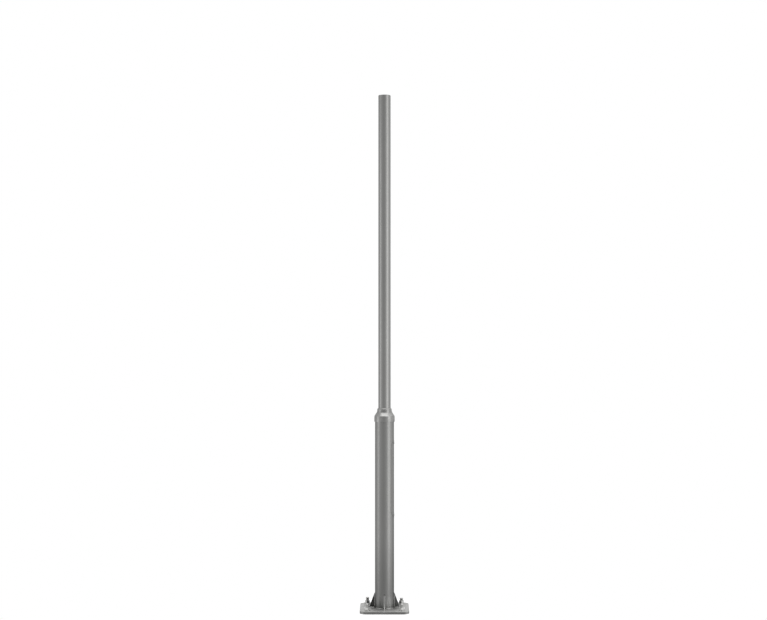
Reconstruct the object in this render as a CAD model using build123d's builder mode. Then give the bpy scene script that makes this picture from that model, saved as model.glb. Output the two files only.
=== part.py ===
from build123d import *
import math
import os

os.makedirs("parts", exist_ok=True)

# Lengths are in millimetres and angles in degrees. The origin is the centre of the base plate's
# underside, +Z runs up the mast, -Y is the front and the access door faces +X.

# Shaft: a wide lower tube and a slim upper tube
mast_height = 3151
lower_tube_diameter = 116
lower_tube_wall = 4
lower_tube_top = 1176
upper_tube_diameter = 75
upper_tube_wall = 3
upper_tube_seat_turning = 0.4
tube_end_chamfer = 0.8

# Cast collar that caps the lower tube and sockets the upper one
collar_skirt_depth = 30
collar_skirt_lip = 4
collar_bead_height = 36
collar_bead_bulge = 0.8
collar_bead_top_lip = 3.6
collar_cone_height = 25
collar_neck_height = 23
collar_neck_wall = 6.3
collar_neck_draft = 1.5
collar_web = 7
collar_rim_land = 0.8
collar_rim_drop = 9
collar_root_round = 34
collar_shoulder_round = 2.5
collar_edge_chamfer = 1

# Base plate, its cable hole and its anchor holes
plate_thickness = 15
plate_corner_radius = 40
plate_edge_chamfer = 0.5
cable_hole_ledge = 9
anchor_spacing = 210
anchor_edge_margin = 44.25
anchor_hole_clearance = 2

# Gussets that stiffen the foot
gusset_height = 88.5
gusset_reach = 35.5
gusset_thickness = 8
gusset_toe = 3
gusset_top_land = 1.5

# Anchor studs with a washer and a hexagon nut each
stud_diameter = 20
stud_end_chamfer = 2
rear_left_stud_top = 55.5
rear_right_stud_top = 50.5
front_left_stud_top = 56.5
front_right_stud_top = 56
washer_diameter = 37
washer_thickness = 3
nut_across_flats = 30
nut_height = 18
rear_left_nut_turn = -19
rear_right_nut_turn = 0
front_left_nut_turn = 13
front_right_nut_turn = -14

# Access door in the lower tube, its two locks and the bars the locks clamp to the wall
door_height = 473
door_below_collar = 110
door_arc_angle = 88
door_gap = 1.5
lock_inset = 16
lock_head_diameter = 22
lock_head_thickness = 3
lock_seat_depth = 1.2
lock_edge_chamfer = 0.6
lock_shank_diameter = 8
lock_tail = 3
lock_socket_across_flats = 5
lock_socket_depth = 4
clamp_arc_angle = 116
clamp_height = 24
clamp_thickness = 6

# Fits: a sliding gap between mating pieces, and the overrun of a cut past its face
slip_gap = 0.25
cut_overrun = 5

# Derived sizes
lower_tube_radius = lower_tube_diameter / 2
lower_tube_bore = lower_tube_radius - lower_tube_wall
upper_tube_radius = upper_tube_diameter / 2
upper_tube_bore = upper_tube_radius - upper_tube_wall
upper_seat_radius = upper_tube_radius - upper_tube_seat_turning
collar_bottom = lower_tube_top - collar_skirt_depth
collar_bead_top = collar_bottom + collar_bead_height
collar_cone_top = collar_bead_top + collar_cone_height
collar_top = collar_cone_top + collar_neck_height
socket_floor = lower_tube_top + collar_web
skirt_bore = lower_tube_radius + slip_gap
socket_bore = upper_seat_radius + slip_gap
neck_rim_radius = socket_bore + collar_neck_wall
neck_root_radius = neck_rim_radius + collar_neck_draft
rim_foot_radius = neck_rim_radius + collar_neck_draft * collar_rim_drop / collar_neck_height
plate_side = anchor_spacing + 2 * anchor_edge_margin
cable_hole_radius = lower_tube_bore - cable_hole_ledge
washer_top = plate_thickness + washer_thickness
door_centre_height = collar_bottom - door_below_collar - door_height / 2
door_half_width = lower_tube_radius * math.sin(math.radians(door_arc_angle / 2))
lock_offset = door_height / 2 - lock_inset
lock_seat = lower_tube_radius - lock_seat_depth
clamp_half_length = lower_tube_bore * math.sin(math.radians(clamp_arc_angle / 2))
clamp_face = lower_tube_bore * math.cos(math.radians(clamp_arc_angle / 2)) - slip_gap
clamp_back = clamp_face - clamp_thickness

# Base plate: rounded square with four anchor holes and a central cable hole
with BuildPart() as base_plate:
    with BuildSketch(Plane.XY):
        RectangleRounded(plate_side, plate_side, plate_corner_radius)
        Circle(cable_hole_radius, mode=Mode.SUBTRACT)
        with GridLocations(anchor_spacing, anchor_spacing, 2, 2):
            Circle(stud_diameter / 2 + anchor_hole_clearance, mode=Mode.SUBTRACT)
    extrude(amount=plate_thickness)
    plate_rim = base_plate.faces().sort_by(Axis.Z)[-1].outer_wire().edges()
    chamfer(plate_rim, length=plate_edge_chamfer)
base_plate.part.label = "base_plate"
export_step(base_plate.part, "parts/base_plate.step")

# Lower tube: stands on the plate, with the round-ended door opening cut through its right side
with BuildPart() as lower_tube:
    with BuildSketch(Plane.XY.offset(plate_thickness)):
        Circle(lower_tube_radius)
        Circle(lower_tube_bore, mode=Mode.SUBTRACT)
    extrude(amount=lower_tube_top - plate_thickness)
    with BuildSketch(Plane.YZ):
        with Locations((0, door_centre_height)):
            SlotOverall(door_height + 2 * door_gap, 2 * (door_half_width + door_gap), rotation=90)
    extrude(amount=lower_tube_radius + cut_overrun, mode=Mode.SUBTRACT)
lower_tube.part.label = "lower_tube"
export_step(lower_tube.part, "parts/lower_tube.step")

# Gussets: flat triangular ribs welded between the plate and the tube, one on each side
for side, turn in (("right", 0), ("back", 90), ("left", 180), ("front", 270)):
    outward = Vector(1, 0, 0).rotate(Axis.Z, turn)
    rib_plane = Plane(
        origin=(0, 0, plate_thickness), x_dir=outward, z_dir=outward.cross(Vector(0, 0, 1))
    )
    rib_root = lower_tube_radius + slip_gap
    rib_end = lower_tube_radius + gusset_reach
    with BuildPart() as gusset:
        with BuildSketch(rib_plane):
            with BuildLine():
                Polyline(
                    (rib_root, 0),
                    (rib_end, 0),
                    (rib_end, gusset_toe),
                    (rib_root + gusset_top_land, gusset_height),
                    (rib_root, gusset_height),
                    close=True,
                )
            make_face()
        extrude(amount=gusset_thickness / 2, both=True)
    gusset.part.label = f"gusset_{side}"
    export_step(gusset.part, f"parts/gusset_{side}.step")

# Collar: cast reducer with a beaded skirt over the lower tube, a cone and a tapered neck
with BuildPart() as collar:
    with BuildSketch(Plane.XZ) as collar_profile:
        with BuildLine():
            bead_foot = (skirt_bore + collar_skirt_lip, collar_bottom)
            bead_crown = (
                skirt_bore + collar_bead_top_lip + collar_bead_bulge,
                collar_bottom + collar_bead_height / 2,
            )
            bead_head = (skirt_bore + collar_bead_top_lip, collar_bead_top)
            neck_root = (neck_root_radius, collar_cone_top)
            rim_foot = (rim_foot_radius, collar_top - collar_rim_drop)
            rim_edge = (socket_bore + collar_rim_land, collar_top)
            ThreePointArc(bead_foot, bead_crown, bead_head)
            Polyline(bead_head, neck_root, rim_foot)
            TangentArc(rim_foot, rim_edge, tangent=(-collar_neck_draft, collar_neck_height))
            Polyline(
                rim_edge,
                (socket_bore, collar_top),
                (socket_bore, socket_floor),
                (upper_tube_bore, socket_floor),
                (upper_tube_bore, lower_tube_top),
                (skirt_bore, lower_tube_top),
                (skirt_bore, collar_bottom),
                bead_foot,
            )
        make_face()
        chamfer(collar_profile.vertices().sort_by_distance(bead_foot)[0], length=collar_edge_chamfer)
        for corner, size in ((bead_head, collar_shoulder_round), (neck_root, collar_root_round)):
            fillet(collar_profile.vertices().sort_by_distance(corner)[0], radius=size)
    revolve(axis=Axis.Z)
collar.part.label = "collar"
export_step(collar.part, "parts/collar.step")

# Upper tube: open, square-cut end at the top, lower end turned down to sit in the collar's socket
with BuildPart() as upper_tube:
    with BuildSketch(Plane.XY.offset(socket_floor)):
        Circle(upper_seat_radius)
        Circle(upper_tube_bore, mode=Mode.SUBTRACT)
    extrude(amount=collar_top + slip_gap - socket_floor)
    with BuildSketch(Plane.XY.offset(collar_top + slip_gap)):
        Circle(upper_tube_radius)
        Circle(upper_tube_bore, mode=Mode.SUBTRACT)
    extrude(amount=mast_height - collar_top - slip_gap)
    tube_end = upper_tube.faces().sort_by(Axis.Z)[-1].outer_wire().edges()
    chamfer(tube_end, length=tube_end_chamfer)
upper_tube.part.label = "upper_tube"
export_step(upper_tube.part, "parts/upper_tube.step")

# Anchor studs, washers and nuts, one set at each corner of the plate
corners = (
    ("rear_left", -1, 1, rear_left_stud_top, rear_left_nut_turn),
    ("rear_right", 1, 1, rear_right_stud_top, rear_right_nut_turn),
    ("front_left", -1, -1, front_left_stud_top, front_left_nut_turn),
    ("front_right", 1, -1, front_right_stud_top, front_right_nut_turn),
)
for corner, across, along, stud_top, nut_turn in corners:
    spot = (across * anchor_spacing / 2, along * anchor_spacing / 2)

    with BuildPart() as anchor_stud:
        with BuildSketch(Plane.XY):
            with Locations(spot):
                Circle(stud_diameter / 2)
        extrude(amount=stud_top)
        chamfer(anchor_stud.faces().sort_by(Axis.Z)[-1].edges(), length=stud_end_chamfer)
    anchor_stud.part.label = f"anchor_stud_{corner}"
    export_step(anchor_stud.part, f"parts/anchor_stud_{corner}.step")

    with BuildPart() as anchor_washer:
        with BuildSketch(Plane.XY.offset(plate_thickness)):
            with Locations(spot):
                Circle(washer_diameter / 2)
                Circle(stud_diameter / 2 + slip_gap, mode=Mode.SUBTRACT)
        extrude(amount=washer_thickness)
    anchor_washer.part.label = f"anchor_washer_{corner}"
    export_step(anchor_washer.part, f"parts/anchor_washer_{corner}.step")

    with BuildPart() as anchor_nut:
        with BuildSketch(Plane.XY.offset(washer_top)):
            with Locations(spot):
                RegularPolygon(nut_across_flats / 2, 6, major_radius=False, rotation=30 + nut_turn)
        extrude(amount=nut_height)
        # The hexagon's corners are turned off at the top by a cone
        with BuildSketch(Plane.XY.offset(washer_top)):
            with Locations(spot):
                Circle(nut_across_flats / 2 + nut_height * math.tan(math.radians(60)))
        extrude(amount=nut_height, taper=60, mode=Mode.INTERSECT)
        with BuildSketch(Plane.XY.offset(washer_top)):
            with Locations(spot):
                Circle(stud_diameter / 2 + slip_gap)
        extrude(amount=nut_height, mode=Mode.SUBTRACT)
    anchor_nut.part.label = f"anchor_nut_{corner}"
    export_step(anchor_nut.part, f"parts/anchor_nut_{corner}.step")

# Access door: a piece of the tube's own round, filling the opening, spot-faced for its locks
with BuildPart() as access_door:
    with BuildSketch(Plane.YZ):
        with Locations((0, door_centre_height)):
            SlotOverall(door_height, 2 * door_half_width, rotation=90)
    extrude(amount=lower_tube_radius + cut_overrun)
    with BuildSketch(Plane.XY.offset(door_centre_height - door_height / 2 - cut_overrun)):
        Circle(lower_tube_radius)
        Circle(lower_tube_bore, mode=Mode.SUBTRACT)
    extrude(amount=door_height + 2 * cut_overrun, mode=Mode.INTERSECT)
    with BuildSketch(Plane.YZ.offset(lock_seat)):
        with Locations((0, door_centre_height)), GridLocations(0, 2 * lock_offset, 1, 2):
            Circle(lock_head_diameter / 2 + slip_gap)
    extrude(amount=lock_seat_depth + cut_overrun, mode=Mode.SUBTRACT)
    with BuildSketch(Plane.YZ):
        with Locations((0, door_centre_height)), GridLocations(0, 2 * lock_offset, 1, 2):
            Circle(lock_shank_diameter / 2 + slip_gap)
    extrude(amount=lower_tube_radius + cut_overrun, mode=Mode.SUBTRACT)
access_door.part.label = "access_door"
export_step(access_door.part, "parts/access_door.step")

# Door locks with their clamp bars: each socket-head screw draws its bar against the tube's inner wall
for end, way in (("upper", 1), ("lower", -1)):
    lock_height = door_centre_height + way * lock_offset

    with BuildPart() as door_lock:
        with BuildSketch(Plane.YZ.offset(lock_seat)):
            with Locations((0, lock_height)):
                Circle(lock_head_diameter / 2)
        extrude(amount=lock_head_thickness)
        chamfer(door_lock.faces().sort_by(Axis.X)[-1].edges(), length=lock_edge_chamfer)
        with BuildSketch(Plane.YZ.offset(clamp_back - lock_tail)):
            with Locations((0, lock_height)):
                Circle(lock_shank_diameter / 2)
        extrude(amount=lock_seat - clamp_back + lock_tail)
        with BuildSketch(Plane.YZ.offset(lock_seat + lock_head_thickness - lock_socket_depth)):
            with Locations((0, lock_height)):
                RegularPolygon(lock_socket_across_flats / 2, 6, major_radius=False)
        extrude(amount=lock_socket_depth + cut_overrun, mode=Mode.SUBTRACT)
    door_lock.part.label = f"door_lock_{end}"
    export_step(door_lock.part, f"parts/door_lock_{end}.step")

    with BuildPart() as door_clamp:
        with BuildSketch(Plane.YZ.offset(clamp_back)):
            with Locations((0, lock_height)):
                Rectangle(2 * clamp_half_length, clamp_height)
                Circle(lock_shank_diameter / 2 + slip_gap, mode=Mode.SUBTRACT)
        extrude(amount=clamp_thickness)
    door_clamp.part.label = f"door_clamp_{end}"
    export_step(door_clamp.part, f"parts/door_clamp_{end}.step")
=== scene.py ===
import math

import bmesh
import bpy
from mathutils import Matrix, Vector


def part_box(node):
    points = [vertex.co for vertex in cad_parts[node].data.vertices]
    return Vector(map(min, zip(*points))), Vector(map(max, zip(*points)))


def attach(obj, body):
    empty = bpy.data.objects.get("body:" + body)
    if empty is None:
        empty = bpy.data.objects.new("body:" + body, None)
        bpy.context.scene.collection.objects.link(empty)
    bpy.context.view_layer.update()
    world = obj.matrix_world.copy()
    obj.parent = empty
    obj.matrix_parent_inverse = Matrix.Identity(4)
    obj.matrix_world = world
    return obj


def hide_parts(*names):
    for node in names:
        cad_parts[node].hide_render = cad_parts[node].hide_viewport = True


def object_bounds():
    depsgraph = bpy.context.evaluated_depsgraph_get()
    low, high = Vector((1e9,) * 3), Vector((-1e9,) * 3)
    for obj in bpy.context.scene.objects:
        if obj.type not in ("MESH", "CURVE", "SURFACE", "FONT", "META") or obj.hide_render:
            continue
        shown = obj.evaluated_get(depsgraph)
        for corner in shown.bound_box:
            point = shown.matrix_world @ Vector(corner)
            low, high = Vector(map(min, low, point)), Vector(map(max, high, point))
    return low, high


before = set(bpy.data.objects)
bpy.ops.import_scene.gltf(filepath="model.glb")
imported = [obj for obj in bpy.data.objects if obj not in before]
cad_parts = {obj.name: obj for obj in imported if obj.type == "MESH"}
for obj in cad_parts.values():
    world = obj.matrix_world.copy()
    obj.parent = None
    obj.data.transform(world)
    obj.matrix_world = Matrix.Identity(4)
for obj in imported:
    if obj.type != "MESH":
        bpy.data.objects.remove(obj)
cad_low, cad_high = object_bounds()


# Base plate: a square of thick aluminium plate with rounded corners, sawn to size and milled,
# drilled for four anchors and bored for the cable. The whole mast stands on it.
plate_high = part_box("base_plate")[1]
plate_top = plate_high.z
tube_low, tube_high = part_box("lower_tube")
tube_radius = (tube_high.x - tube_low.x) / 2.0


def add_node(tree, kind, inputs=None, **settings):
    """Add one shader node. An input takes a plain value or another node's output."""
    made = tree.nodes.new("ShaderNode" + kind)
    for setting, value in settings.items():
        setattr(made, setting, value)
    for socket, value in (inputs or {}).items():
        if isinstance(value, bpy.types.NodeSocket):
            tree.links.new(value, made.inputs[socket])
        else:
            made.inputs[socket].default_value = value
    return made


def place_on_mast(tree):
    """The point on the mast, as its x, y and z in metres."""
    point = add_node(tree, "TexCoord").outputs["Object"]
    return add_node(tree, "SeparateXYZ", {0: point}).outputs


def from_mast_axis(tree, x, y):
    """How far a point is from the upright axis of the mast."""
    flat_point = add_node(tree, "CombineXYZ", {0: x, 1: y}).outputs[0]
    return add_node(tree, "VectorMath", {0: flat_point}, operation="LENGTH").outputs["Value"]


def blotches(tree, size, drawn_out=(1.0, 1.0, 1.0), detail=4.0):
    """Soft random patches of the given size, drawn out along the axes."""
    point = add_node(tree, "TexCoord").outputs["Object"]
    scale = [1.0 / (size * stretch) for stretch in drawn_out]
    scaled = add_node(tree, "Mapping", {"Vector": point, "Scale": scale}).outputs["Vector"]
    return add_node(tree, "TexNoise", {"Vector": scaled, "Scale": 1.0, "Detail": detail}).outputs["Fac"]


def spread(tree, value, start, end, low, high):
    """Turn a value that runs from start to end into one that runs from low to high."""
    limits = {"Value": value, "From Min": start, "From Max": end, "To Min": low, "To Max": high}
    return add_node(tree, "MapRange", limits).outputs["Result"]


def patchy(tree, patches, low, high):
    """Run from low to high over the range that soft random patches usually fill."""
    usual_span = (0.3, 0.7)
    return spread(tree, patches, *usual_span, low, high)


def product(tree, first, *others):
    """Multiply several values together."""
    for other in others:
        first = add_node(tree, "Math", {0: first, 1: other}, operation="MULTIPLY").outputs[0]
    return first


def metal_tone(lightness):
    """The colour of bare metal: a grey of the given lightness with a little less blue."""
    blue_share = 0.98
    return (lightness, lightness, lightness * blue_share)


def between(tree, amount, low, high):
    """A colour between two tones, by an amount from zero to one."""
    ends = [tone if isinstance(tone, bpy.types.NodeSocket) else (*tone, 1.0) for tone in (low, high)]
    return add_node(tree, "Mix", {0: amount, 6: ends[0], 7: ends[1]}, data_type="RGBA").outputs[2]


def shaded(tree, tone, shade):
    """A tone made darker or lighter by a shade, where one leaves it as it is."""
    return add_node(tree, "VectorMath", {0: tone, "Scale": shade}, operation="SCALE").outputs["Vector"]


def edged(tree, tone, edge_tone, width, share):
    """A tone that turns by a share to another, in a band of the given width along sharp edges."""
    face_to_edge = (0.995, 0.85)
    rounded = add_node(tree, "Bevel", {"Radius": width}, samples=6).outputs["Normal"]
    flat = add_node(tree, "NewGeometry").outputs["Normal"]
    likeness = add_node(tree, "VectorMath", {0: rounded, 1: flat}, operation="DOT_PRODUCT")
    on_edge = spread(tree, likeness.outputs["Value"], *face_to_edge, 0.0, share)
    return between(tree, on_edge, tone, edge_tone)


def bare_metal(name):
    """A new finish of bare metal, with its shader ready to wire."""
    finish = bpy.data.materials.new(name)
    finish.use_nodes = True
    shader = finish.node_tree.nodes["Principled BSDF"]
    shader.inputs["Metallic"].default_value = 1.0
    return finish, finish.node_tree, shader


def wire_metal(tree, shader, colour, roughness, relief, depth):
    """Give a metal its colour, its roughness and a relief of the given depth."""
    bump = add_node(tree, "Bump", {"Height": relief, "Distance": depth, "Strength": 1.0})
    tree.links.new(colour, shader.inputs["Base Color"])
    tree.links.new(roughness, shader.inputs["Roughness"])
    tree.links.new(bump.outputs["Normal"], shader.inputs["Normal"])


def dress(node, finish):
    """Put a finish on a piece of the frame."""
    for material_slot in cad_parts[node].material_slots:
        material_slot.material = finish


def milled_plate_finish():
    """Rolled plate: rolling lines, cloudy oxide, painted shade round the tube and on the sides, painted
    highlight on the corners.
    """
    dark_tone, light_tone = metal_tone(0.49), metal_tone(0.58)
    rubbed_tone, rubbed_width, rubbed_share = metal_tone(0.52), 0.001, 0.4
    cloud_size, cloud_rough, cloud_smooth = 0.045, 0.60, 0.50
    line_width, line_stretch, line_depth = 0.0012, 60.0, 0.00008
    tube_shade_span, tube_shade = (tube_radius, plate_high.x * 0.95), 0.60
    side_to_top, side_shade = (0.2, 0.9), 0.29
    side_to_corner, lit_corner_shade = (0.3, 0.48), 0.52
    finish, tree, shader = bare_metal("milled_plate")
    x, y, _ = place_on_mast(tree)
    clouds = blotches(tree, cloud_size, detail=6.0)
    rolling = blotches(tree, line_width, drawn_out=(1.0, line_stretch, 1.0), detail=2.0)
    # Painted shade: darker round the tube and on the sides, less on the rounded corners, which carry a
    # painted highlight.
    near_tube_shade = spread(tree, from_mast_axis(tree, x, y), *tube_shade_span, tube_shade, 1.0)
    facing = add_node(tree, "NewGeometry").outputs["Normal"]
    sideways, frontward, upward = add_node(tree, "SeparateXYZ", {0: facing}).outputs
    slant = product(tree, sideways, frontward)
    slant = add_node(tree, "Math", {0: slant}, operation="ABSOLUTE").outputs[0]
    edge_shade = spread(tree, slant, *side_to_corner, side_shade, lit_corner_shade)
    painted_side_shade = spread(tree, upward, *side_to_top, edge_shade, 1.0)
    tone = between(tree, patchy(tree, clouds, 0.0, 1.0), dark_tone, light_tone)
    tone = shaded(tree, tone, product(tree, near_tube_shade, painted_side_shade))
    tone = edged(tree, tone, rubbed_tone, rubbed_width, rubbed_share)
    gloss = patchy(tree, clouds, cloud_rough, cloud_smooth)
    wire_metal(tree, shader, tone, gloss, rolling, line_depth)
    return finish


dress("base_plate", milled_plate_finish())


# Lower tube: the wide aluminium tube of the mast, extruded, so it has faint die lines along its
# length. It is welded to the base plate. Its foot has painted shade and a painted highlight.
def extruded_tube_finish(name, lightness=1.0):
    """Extruded tube: die lines, faint mottling, handling marks, grimy edges, painted shade and highlight at
    the foot.
    """
    dark_tone, light_tone = metal_tone(0.283 * lightness), metal_tone(0.303 * lightness)
    grime_tone, grime_width, grime_share = metal_tone(0.12), 0.0025, 0.8
    line_width, line_stretch, line_depth = 0.0014, 900.0, 0.00002
    line_span, line_dark, line_light = (0.2, 0.8), 0.95, 1.05
    mottle_size, mottle_stretch = 0.08, 6.0
    mark_size, mark_stretch, mark_smooth, mark_rough = 0.012, 8.0, 0.35, 0.38
    foot_fade_span, foot_fade_shade = (plate_top, plate_top + 0.4), 0.64
    foot_highlight_heights = (plate_top + 0.015, plate_top + 0.075)
    foot_highlight_starts, foot_highlight_left_shade, foot_highlight_full_shade = (tube_radius * 0.05, tube_radius * 0.45), 0.88, 1.8
    foot_highlight_ends, foot_highlight_end_share = (tube_radius * 0.58, tube_radius * 0.72), 0.58
    finish, tree, shader = bare_metal(name)
    x, _, z = place_on_mast(tree)
    die_lines = blotches(tree, line_width, drawn_out=(1.0, 1.0, line_stretch), detail=3.0)
    mottling = blotches(tree, mottle_size, drawn_out=(1.0, 1.0, mottle_stretch), detail=4.0)
    handling = blotches(tree, mark_size, drawn_out=(1.0, 1.0, mark_stretch), detail=5.0)
    streaks = spread(tree, die_lines, *line_span, line_dark, line_light)
    # Painted shade darkens the foot. A painted highlight runs down the right of the foot to the weld, with
    # painted shade beside it.
    foot_fade = spread(tree, z, *foot_fade_span, foot_fade_shade, 1.0)
    foot_highlight_rise = spread(tree, x, *foot_highlight_starts, foot_highlight_left_shade, foot_highlight_full_shade)
    foot_highlight_fall = spread(tree, x, *foot_highlight_ends, 1.0, foot_highlight_end_share)
    painted_foot_highlight = spread(tree, z, *foot_highlight_heights, product(tree, foot_highlight_rise, foot_highlight_fall), 1.0)
    tone = between(tree, patchy(tree, mottling, 0.0, 1.0), dark_tone, light_tone)
    tone = shaded(tree, tone, product(tree, streaks, foot_fade, painted_foot_highlight))
    tone = edged(tree, tone, grime_tone, grime_width, grime_share)
    gloss = patchy(tree, handling, mark_smooth, mark_rough)
    shader.inputs["Specular Tint"].default_value = (0.6, 0.6, 0.6, 1.0)
    wire_metal(tree, shader, tone, gloss, die_lines, line_depth)
    return finish


dress("lower_tube", extruded_tube_finish("lower_tube_metal"))


# Gussets: four aluminium ribs cut from flat plate, set square on the base plate and welded to it
# and to the tube. They stiffen the foot, and their faces carry painted shade.
gusset_sides = ("right", "back", "left", "front")
gusset_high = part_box("gusset_right")[1]
gusset_half = gusset_high.y


def beside_gussets(tree, x, y):
    """How far a point is from the nearer of the two upright planes that the gussets stand in."""
    across = [add_node(tree, "Math", {0: axis}, operation="ABSOLUTE").outputs[0] for axis in (x, y)]
    return add_node(tree, "Math", {0: across[0], 1: across[1]}, operation="MINIMUM").outputs[0]


def cut_rib_finish():
    """Cut plate: faces in painted shade, deepest at the top and on the left, lighter cut edges with the
    marks of the cut, lighter toes.
    """
    dark_tone, light_tone, edge_tone = metal_tone(0.07), metal_tone(0.12), metal_tone(0.30)
    stain_size, stain_rough, stain_smooth = 0.018, 0.55, 0.42
    mark_height, mark_stretch, mark_depth = 0.0009, 3.0, 0.00006
    face_to_edge = (gusset_half * 0.97, gusset_half * 0.90)
    top_shade_span, top_shade = (gusset_high.z - 0.014, gusset_high.z - 0.004), 0.5
    toe_span, toe_shade = (gusset_high.x - 0.012, gusset_high.x - 0.003), 1.7
    left_shade, right_shade = 0.7, 1.35
    finish, tree, shader = bare_metal("cut_rib")
    x, y, z = place_on_mast(tree)
    stain = blotches(tree, stain_size, detail=6.0)
    cut_marks = blotches(tree, mark_height, drawn_out=(mark_stretch, mark_stretch, 1.0), detail=2.0)
    on_edge = spread(tree, beside_gussets(tree, x, y), *face_to_edge, 0.0, 1.0)
    # Painted shade: dark faces, darker toward the top and on the left side, lighter toward the outer toes.
    darkening = spread(tree, z, *top_shade_span, 1.0, top_shade)
    lighter_toe = spread(tree, from_mast_axis(tree, x, y), *toe_span, 1.0, toe_shade)
    painted_light_from_right = spread(tree, x, -tube_radius, tube_radius, left_shade, right_shade)
    tone = between(tree, patchy(tree, stain, 0.0, 1.0), dark_tone, light_tone)
    tone = between(tree, on_edge, tone, edge_tone)
    tone = shaded(tree, tone, product(tree, darkening, lighter_toe, painted_light_from_right))
    gloss = patchy(tree, stain, stain_rough, stain_smooth)
    wire_metal(tree, shader, tone, gloss, cut_marks, mark_depth)
    return finish


rib_finish = cut_rib_finish()
for side in gusset_sides:
    dress(f"gusset_{side}", rib_finish)


# Welds: runs of bright filler metal laid by hand in the corners between tube, plate and gussets,
# each with the close ripples of its pools. They are what holds the foot together.
weld_leg = 0.003
weld_end_share = 0.35
weld_bulge_share = 0.55
ripple_pitch = 0.0022
ripple_share = 0.045
ripple_sweep_share = 0.6
slow_wander_share, slow_wander_rate = 0.06, 310.0
quick_wander_share, quick_wander_rate, quick_wander_start = 0.04, 733.0, 1.3
station_step = 0.0006
points_across = 8
foot_stop_share = 0.7
level_share = 0.8
upright_shares = {"right": 1.6, "back": 1.2, "left": 1.3, "front": 1.2}
upright_stop = 0.012
upward_way = Vector((0.0, 0.0, 1.0))


def weld_run(seam, length, leg):
    """Points and faces of one closed bead. The seam gives a corner and the two ways out of it."""
    points, faces = [], []
    stations = math.ceil(length / station_step)
    loop = points_across + 2
    for station in range(stations + 1):
        along = length * station / stations
        corner, first_way, second_way = seam(along)
        from_end = min(along, length - along)
        fullness = weld_end_share + (1.0 - weld_end_share) * math.sqrt(min(1.0, from_end / leg))
        slow_wander = slow_wander_share * math.sin(along * slow_wander_rate)
        quick_wander = quick_wander_share * math.sin(along * quick_wander_rate + quick_wander_start)
        for step in range(points_across + 1):
            share = step / points_across
            crescent = 1.0 - (2.0 * share - 1.0) ** 2
            ripple = math.cos(2.0 * math.pi * (along / ripple_pitch - ripple_sweep_share * crescent))
            reach = leg * fullness * (1.0 + slow_wander + quick_wander) * (1.0 + ripple_share * ripple)
            turn = share * math.pi / 2.0
            first_share = (1.0 - weld_bulge_share) * (1.0 - share) + weld_bulge_share * math.cos(turn)
            second_share = (1.0 - weld_bulge_share) * share + weld_bulge_share * math.sin(turn)
            points.append(corner + (first_way * first_share + second_way * second_share) * reach)
        points.append(corner)
        if station:
            ahead, behind = station * loop, (station - 1) * loop
            for step in range(loop):
                after = (step + 1) % loop
                faces.append((behind + step, behind + after, ahead + after, ahead + step))
    faces.append(tuple(reversed(range(loop))))
    faces.append(tuple(range(stations * loop, stations * loop + loop)))
    return points, faces


def mesh_piece(name, points, faces, finish, slot_name, sharp_angle=40.0):
    """Make a piece of the mast from its points and faces, riding with the frame."""
    same_point = 1e-6
    mesh = bpy.data.meshes.new(name)
    mesh.from_pydata(points, [], faces)
    builder = bmesh.new()
    builder.from_mesh(mesh)
    bmesh.ops.remove_doubles(builder, verts=builder.verts, dist=same_point)
    bmesh.ops.recalc_face_normals(builder, faces=builder.faces)
    builder.to_mesh(mesh)
    builder.free()
    mesh.shade_smooth()
    mesh.set_sharp_from_angle(angle=math.radians(sharp_angle))
    mesh.materials.append(finish)
    piece = bpy.data.objects.new(name, mesh)
    bpy.context.scene.collection.objects.link(piece)
    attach(piece, "root")
    return piece


def larger(tree, first, second):
    """The larger of two values."""
    return add_node(tree, "Math", {0: first, 1: second}, operation="MAXIMUM").outputs[0]


def filler_metal_finish():
    """Filler metal: bright crests and greyer hollows, painted shade in the corners by the gussets, lighter
    toes.
    """
    dark_tone, light_tone = metal_tone(0.22), metal_tone(0.46)
    soot_size, soot_rough, soot_smooth = 0.006, 0.42, 0.28
    grain_size, grain_depth = 0.0006, 0.00003
    painted_corner_shade, upright_shade, toe_shade = 0.45, 0.75, 1.5
    upright_span = (plate_top + 0.006, plate_top + 0.014)
    start_span = (gusset_half, gusset_half + 0.024)
    toe_span = (tube_radius + 0.004, tube_radius + 0.016)
    finish, tree, shader = bare_metal("weld_metal")
    x, y, z = place_on_mast(tree)
    darkening = blotches(tree, soot_size, detail=5.0)
    grain = blotches(tree, grain_size, detail=2.0)
    # Painted shade: darker in the corners by the gussets and the tube, lighter toward the outer toes of the
    # level runs.
    upright = spread(tree, z, *upright_span, painted_corner_shade, upright_shade)
    start = spread(tree, beside_gussets(tree, x, y), *start_span, upright, 1.0)
    toe = spread(tree, from_mast_axis(tree, x, y), *toe_span, painted_corner_shade, toe_shade)
    tone = between(tree, patchy(tree, darkening, 0.0, 1.0), dark_tone, light_tone)
    tone = shaded(tree, tone, larger(tree, start, toe))
    gloss = patchy(tree, darkening, soot_rough, soot_smooth)
    wire_metal(tree, shader, tone, gloss, grain, grain_depth)
    return finish


def joined(runs):
    """The points and faces of several beads as one list each."""
    points, faces = [], []
    for run_points, run_faces in runs:
        first = len(points)
        points += run_points
        faces += [tuple(first + corner for corner in face) for face in run_faces]
    return points, faces


def foot_seam(start_angle):
    """The corner between tube and plate, from one gusset round to the next."""
    def seam(along):
        angle = start_angle + along / tube_radius
        outward = Vector((math.cos(angle), math.sin(angle), 0.0))
        return outward * tube_radius + upward_way * plate_top, upward_way, outward
    return seam


def upright_seam(outward, sideways):
    """The corner between a gusset's face and the tube, from the plate up."""
    edge = sideways * gusset_half + outward * math.sqrt(tube_radius ** 2 - gusset_half ** 2)
    round_tube = (sideways - outward * (gusset_half + weld_leg / 2.0) / tube_radius).normalized()

    def seam(along):
        return edge + upward_way * (plate_top + along), outward, round_tube
    return seam


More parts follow.
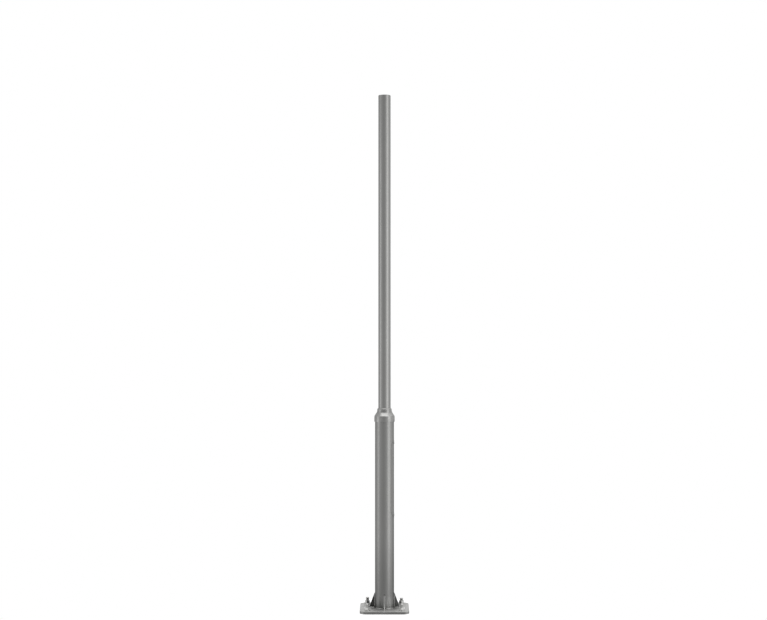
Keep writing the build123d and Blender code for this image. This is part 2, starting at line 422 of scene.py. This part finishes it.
def level_seam(outward, sideways):
    """The corner between a gusset's face and the plate, from the tube out."""
    edge = sideways * gusset_half + outward * tube_radius + upward_way * plate_top

    def seam(along):
        return edge + outward * along, upward_way, sideways
    return seam


weld_metal = filler_metal_finish()
gusset_angle = math.asin((gusset_half + weld_leg * foot_stop_share) / tube_radius)
foot_length = (math.pi / 2.0 - 2.0 * gusset_angle) * tube_radius
foot_runs = [weld_run(foot_seam(quarter * math.pi / 2.0 + gusset_angle), foot_length, weld_leg)
             for quarter in range(4)]
mesh_piece("weld_foot", *joined(foot_runs), weld_metal, "plate")
upright_length = gusset_high.z - plate_top - upright_stop
level_length = gusset_high.x - tube_radius
for quarter, side in enumerate(gusset_sides):
    turn = quarter * math.pi / 2.0
    outward = Vector((math.cos(turn), math.sin(turn), 0.0))
    left_way = Vector((-math.sin(turn), math.cos(turn), 0.0))
    upright_leg = weld_leg * upright_shares[side]
    gusset_runs = []
    for sideways in (left_way, -left_way):
        gusset_runs.append(weld_run(upright_seam(outward, sideways), upright_length, upright_leg))
        gusset_runs.append(weld_run(level_seam(outward, sideways), level_length, weld_leg * level_share))
    mesh_piece(f"weld_gusset_{side}", *joined(gusset_runs), weld_metal, "plate")


# Access door: a curved aluminium cover cut from the same tube, flush with it, over the hand hole
# for the cable joint. Two locks hold it to bars behind the opening.
dress("access_door", extruded_tube_finish("access_door_metal", lightness=1.07))


# Collar: a sand-cast aluminium reducer with a round bead, a cone and a tapered neck, turned on
# its rims. It slips over the lower tube and holds the upper one in its socket.
def cast_collar_finish():
    """Sand casting: a fine grain in the surface, cloudy oxide and rubbed rims."""
    dark_tone, light_tone = metal_tone(0.283), metal_tone(0.343)
    rubbed_tone, rubbed_width, rubbed_share = metal_tone(0.46), 0.0015, 0.7
    cloud_size, cloud_rough, cloud_smooth = 0.03, 0.36, 0.28
    grain_size, grain_depth = 0.0011, 0.00005
    finish, tree, shader = bare_metal("cast_collar")
    grain = blotches(tree, grain_size, detail=3.0)
    clouds = blotches(tree, cloud_size, detail=5.0)
    tone = between(tree, patchy(tree, clouds, 0.0, 1.0), dark_tone, light_tone)
    tone = edged(tree, tone, rubbed_tone, rubbed_width, rubbed_share)
    gloss = patchy(tree, clouds, cloud_rough, cloud_smooth)
    wire_metal(tree, shader, tone, gloss, grain, grain_depth)
    return finish


dress("collar", cast_collar_finish())


# Upper tube: the slim aluminium tube that carries the head of the mast, extruded, with its top
# end sawn square and the edge broken. Its lower end stands in the collar.
dress("upper_tube", extruded_tube_finish("upper_tube_metal", lightness=1.1))


# Anchors: zinc-plated steel studs set in the foundation, each with a plain washer and a hexagon
# nut drawn down on the base plate. The rear pair is darker and smoother.
thread_pitch = 0.0025
thread_depth = 0.0015
thread_root_share = 0.125
thread_flank_share = 0.625
thread_sides = 48
thread_rows = 8
stud_chamfer = 0.002
nut_sides = 72
nut_turns = {"rear_left": -19.0, "rear_right": 0.0, "front_left": 13.0, "front_right": -14.0}
nut_face_share = 0.95
nut_cone_slope = math.tan(math.radians(30.0))
nut_thread_entry = 0.0011
washer_sides = 72
washer_round = 0.0008
washer_round_steps = 3
bore_gap = 0.0001


def bright_steel_finish(name, dark, light, rough, smooth, rubbed_width):
    """Bright steel: a faint bloom, handling marks and edges rubbed to brighter metal."""
    rubbed_tone, rubbed_share = metal_tone(0.62), 0.6
    bloom_size, bloom_depth = 0.004, 0.00003
    finish, tree, shader = bare_metal(name)
    bloom = blotches(tree, bloom_size, detail=5.0)
    tone = between(tree, patchy(tree, bloom, 0.0, 1.0), metal_tone(dark), metal_tone(light))
    tone = edged(tree, tone, rubbed_tone, rubbed_width, rubbed_share)
    wire_metal(tree, shader, tone, patchy(tree, bloom, rough, smooth), bloom, bloom_depth)
    return finish


def turned_ring(centre, sides, outline, turn=0.0):
    """Points and faces of a ring round an upright axis. The outline gives its section at an angle."""
    points, faces = [], []
    for side in range(sides):
        angle = 2.0 * math.pi * side / sides
        section = outline(angle)
        count = len(section)
        across, along = math.cos(angle + turn), math.sin(angle + turn)
        points += [(centre.x + radius * across, centre.y + radius * along, height)
                   for radius, height in section]
        here, there = side * count, (side + 1) % sides * count
        for step in range(count):
            after = (step + 1) % count
            faces.append((here + step, there + step, there + after, here + after))
    return points, faces


def thread_height(phase):
    """How far the thread stands out at a share of its pitch: sloping flanks, flat crest and root."""
    from_root = abs(phase % 1.0 - 0.5) * 2.0
    return min(1.0, max(0.0, (from_root - thread_root_share) / thread_flank_share))


def threaded_stud(low, high, thread_start):
    """Points and faces of a stud: a plain shank, then a right-hand thread up to a bevelled end."""
    centre = (low + high) / 2.0
    crest = (high.x - low.x) / 2.0
    rows = math.ceil((high.z - low.z) / thread_pitch + 2.0) * thread_rows
    points, faces = [], []
    for side in range(thread_sides):
        share = side / thread_sides
        angle = 2.0 * math.pi * share
        for row in range(rows + 1):
            wound = low.z - thread_pitch + thread_pitch * (row / thread_rows + share)
            height = min(high.z, max(low.z, wound))
            groove = thread_depth * (1.0 - thread_height(height / thread_pitch - share))
            groove *= min(1.0, max(0.0, (height - thread_start) / thread_pitch))
            radius = min(crest - groove, crest - stud_chamfer + high.z - height)
            points.append((centre.x + radius * math.cos(angle), centre.y + radius * math.sin(angle), height))
    for side in range(thread_sides):
        here = side * (rows + 1)
        wraps = side == thread_sides - 1
        there = thread_rows if wraps else here + rows + 1
        for row in range(rows - thread_rows if wraps else rows):
            faces.append((here + row, there + row, there + row + 1, here + row + 1))
    bottom = [side * (rows + 1) for side in range(thread_sides)]
    faces.append(tuple(reversed(bottom)))
    faces.append(tuple(corner + rows for corner in bottom))
    return points, faces


def nut_section(low, high, bore, turn):
    """The section of a hexagon nut at an angle, with both its faces turned to a cone."""
    corner_radius = (high.x - low.x) / 2.0 / math.cos(math.pi / 6.0 - abs(turn))
    half_flats = corner_radius * math.cos(math.pi / 6.0)
    face_radius = half_flats * nut_face_share
    entry_radius = bore + nut_thread_entry

    def section(angle):
        from_flat = (angle + math.pi / 6.0) % (math.pi / 3.0) - math.pi / 6.0
        radius = half_flats / math.cos(from_flat)
        drop = (radius - face_radius) * nut_cone_slope
        return [
            (bore, low.z + nut_thread_entry), (entry_radius, low.z), (face_radius, low.z),
            (radius, low.z + drop), (radius, high.z - drop),
            (face_radius, high.z), (entry_radius, high.z), (bore, high.z - nut_thread_entry),
        ]
    return section


def washer_section(low, high, bore):
    """The section of a punched washer, its upper rim rounded by the punch."""
    rim = (high.x - low.x) / 2.0
    arc = [math.pi / 2.0 * step / washer_round_steps for step in range(washer_round_steps + 1)]
    rounded = [(rim - washer_round * (1.0 - math.cos(turn)), high.z - washer_round * (1.0 - math.sin(turn)))
               for turn in arc]
    return lambda angle: [(bore, low.z), (rim, low.z), *rounded, (bore, high.z)]


zinc = bright_steel_finish("bright_zinc", dark=0.46, light=0.60, rough=0.24, smooth=0.12,
                           rubbed_width=0.0006)
dark_zinc = bright_steel_finish("dark_zinc", dark=0.36, light=0.50, rough=0.14, smooth=0.05,
                                rubbed_width=0.0006)
for corner in ("rear_left", "rear_right", "front_left", "front_right"):
    plating = dark_zinc if corner.startswith("rear") else zinc
    stud_low, stud_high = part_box(f"anchor_stud_{corner}")
    nut_low, nut_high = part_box(f"anchor_nut_{corner}")
    washer_low, washer_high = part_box(f"anchor_washer_{corner}")
    stud_centre = (stud_low + stud_high) / 2.0
    nut_bore = (stud_high.x - stud_low.x) / 2.0 + bore_gap
    stud_shape = threaded_stud(stud_low, stud_high, plate_top)
    stud = mesh_piece(f"threaded_stud_{corner}", *stud_shape, plating, "stud", sharp_angle=30.0)
    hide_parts(f"anchor_stud_{corner}")
    nut_turn = math.radians(nut_turns[corner])
    nut_outline = nut_section(nut_low, nut_high, nut_bore, nut_turn)
    nut_shape = turned_ring(stud_centre, nut_sides, nut_outline, nut_turn)
    nut = mesh_piece(f"hexagon_nut_{corner}", *nut_shape, plating, "nut", sharp_angle=20.0)
    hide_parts(f"anchor_nut_{corner}")
    washer_shape = turned_ring(stud_centre, washer_sides, washer_section(washer_low, washer_high, nut_bore))
    washer = mesh_piece(f"plain_washer_{corner}", *washer_shape, plating, "washer", sharp_angle=50.0)
    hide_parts(f"anchor_washer_{corner}")


# Door locks and clamp bars: stainless cap screws with a hexagon socket through the door, their
# heads rubbed by the key, and the zinc-plated steel bars behind the opening that they draw up.
stainless = bright_steel_finish("plain_stainless", dark=0.4, light=0.5, rough=0.3, smooth=0.2,
                                rubbed_width=0.003)
for end in ("upper", "lower"):
    dress(f"door_lock_{end}", stainless)
    dress(f"door_clamp_{end}", zinc)


# Studio: a small pale disc under the foot, a white backdrop behind the mast and a grey room all
# round. Four soft boxes light the mast: two from the right, one from the left, one from above.
floor_radius = 0.34
floor_corners = 96
floor_drop = 0.0005
floor_mesh = bpy.data.meshes.new("floor")
floor_rim = [
    (floor_radius * math.cos(2.0 * math.pi * corner / floor_corners),
     floor_radius * math.sin(2.0 * math.pi * corner / floor_corners), 0.0)
    for corner in range(floor_corners)
]
floor_mesh.from_pydata(floor_rim, [], [tuple(range(floor_corners))])
floor = bpy.data.objects.new("floor", floor_mesh)
bpy.context.scene.collection.objects.link(floor)
floor.location.z = cad_low.z - floor_drop


def pale_floor_finish():
    """Matt pale paper that reads white, also off a shiny surface, and keeps a soft shadow."""
    paper_tone, paper_glow, paper_roughness = 0.45, 0.68, 0.9
    finish = bpy.data.materials.new("pale_floor")
    finish.use_nodes = True
    tree = finish.node_tree
    shader = tree.nodes["Principled BSDF"]
    shader.inputs["Base Color"].default_value = (paper_tone, paper_tone, paper_tone, 1.0)
    shader.inputs["Roughness"].default_value = paper_roughness
    shader.inputs["Specular IOR Level"].default_value = 0.0
    shader.inputs["Emission Color"].default_value = (1.0, 1.0, 1.0, 1.0)
    path = add_node(tree, "LightPath").outputs
    mirrored = larger(tree, path["Is Glossy Ray"], path["Is Transmission Ray"])
    glow = product(tree, larger(tree, path["Is Camera Ray"], mirrored), paper_glow)
    tree.links.new(glow, shader.inputs["Emission Strength"])
    return finish


floor_mesh.materials.append(pale_floor_finish())


def total(tree, first, *others):
    """Add several values together."""
    for other in others:
        first = add_node(tree, "Math", {0: first, 1: other}, operation="ADD").outputs[0]
    return first


def light_room():
    """A grey room with a white backdrop behind the mast, all white to the camera.

    A span is where a change starts and ends along a heading: x to the right, y back and z up."""
    room_level = 0.58
    backdrop_span = (0.975, 0.985)
    right_wall_span, right_wall_level = (0.0, 0.7), 0.34
    left_wall_span, left_wall_level = (-0.3, -0.8), 0.18
    ceiling_span, ceiling_level = (0.5, 0.95), 0.74
    ceiling_right_span, ceiling_right_share = (0.1, 0.5), 1.8
    front_span, front_height_span, front_share = (0.0, 0.4), (0.06, 0.2), 0.62
    ground_span, ground_share = (-0.1, -0.22), 0.9
    corner_spans, corner_share = ((0.1, 0.3), (0.3, 0.7), (-0.075, -0.115)), 0.25
    world = bpy.data.worlds.new("studio")
    world.use_nodes = True
    bpy.context.scene.world = world
    tree = world.node_tree
    heading = add_node(tree, "TexCoord").outputs["Generated"]
    x, y, z = add_node(tree, "SeparateXYZ", {0: heading}).outputs
    right_wall = spread(tree, x, *right_wall_span, 0.0, right_wall_level)
    left_wall = spread(tree, x, *left_wall_span, 0.0, left_wall_level)
    ceiling = spread(tree, z, *ceiling_span, 0.0, ceiling_level)
    ceiling = product(tree, ceiling, spread(tree, x, *ceiling_right_span, 1.0, ceiling_right_share))
    dim_front = spread(tree, y, *front_span, room_level * front_share, room_level)
    front = spread(tree, z, *front_height_span, room_level, dim_front)
    room = total(tree, right_wall, left_wall, ceiling, front)
    ground = spread(tree, z, *ground_span, 1.0, ground_share)
    into_corner = [spread(tree, way, *span, 0.0, 1.0) for way, span in zip((x, y, z), corner_spans)]
    corner = spread(tree, product(tree, *into_corner), 0.0, 1.0, 1.0, corner_share)
    room = product(tree, room, ground, corner)
    path = add_node(tree, "LightPath").outputs
    mirrored = larger(tree, path["Is Glossy Ray"], path["Is Transmission Ray"])
    mirrored = product(tree, mirrored, spread(tree, y, *backdrop_span, 0.0, 1.0))
    white = larger(tree, path["Is Camera Ray"], mirrored)
    level = spread(tree, white, 0.0, 1.0, room, 1.0)
    tree.links.new(level, tree.nodes["Background"].inputs["Strength"])
    tree.nodes["Background"].inputs["Color"].default_value = (1.0, 1.0, 1.0, 1.0)


light_room()


def soft_box(name, place, aim, width, length, level):
    """A rectangular soft light; its level is how bright its face is, with one as white."""
    lamp = bpy.data.lights.new(name, "AREA")
    lamp.shape = "RECTANGLE"
    lamp.size = width
    lamp.size_y = length
    lamp.energy = level * math.pi * width * length
    holder = bpy.data.objects.new(name, lamp)
    holder.location = place
    holder.rotation_euler = (Vector(aim) - Vector(place)).to_track_quat("-Z", "Y").to_euler()
    bpy.context.scene.collection.objects.link(holder)


def side_box(name, bearing, height, width, length, level):
    """An upright soft box beside the mast: bearing zero is toward the camera, ninety to its right."""
    distance = 3.5
    turn = math.radians(bearing)
    place = (distance * math.sin(turn), -distance * math.cos(turn), height)
    soft_box(name, place, (0.0, 0.0, height), width, length, level)


side_box("right_box", bearing=54.5, height=2.1, width=1.7, length=5.2, level=1.06)
side_box("high_box", bearing=76.0, height=2.7, width=1.0, length=2.6, level=0.4)
side_box("left_box", bearing=-80.0, height=1.55, width=1.4, length=4.1, level=0.8)
soft_box("top_box", place=(-0.1, -2.0, 7.0), aim=(-0.1, -1.7, 1.21), width=7.0, length=2.8, level=1.65)


# Camera: a long lens in front of the mast, a little above the middle of its height. It stands
# level but for a slight tilt upward.
camera_tilt = 1.177
camera = bpy.data.objects.new("camera", bpy.data.cameras.new("camera"))
camera.location = (-0.0061, -8.3, 1.66)
camera.rotation_euler = (math.radians(90.0 + camera_tilt), 0.0, 0.0)
camera.data.lens = 63.485
camera.data.sensor_width = 36.0
camera.data.clip_end = 100.0
bpy.context.scene.collection.objects.link(camera)
bpy.context.scene.camera = camera
bpy.context.scene.view_settings.view_transform = "Standard"
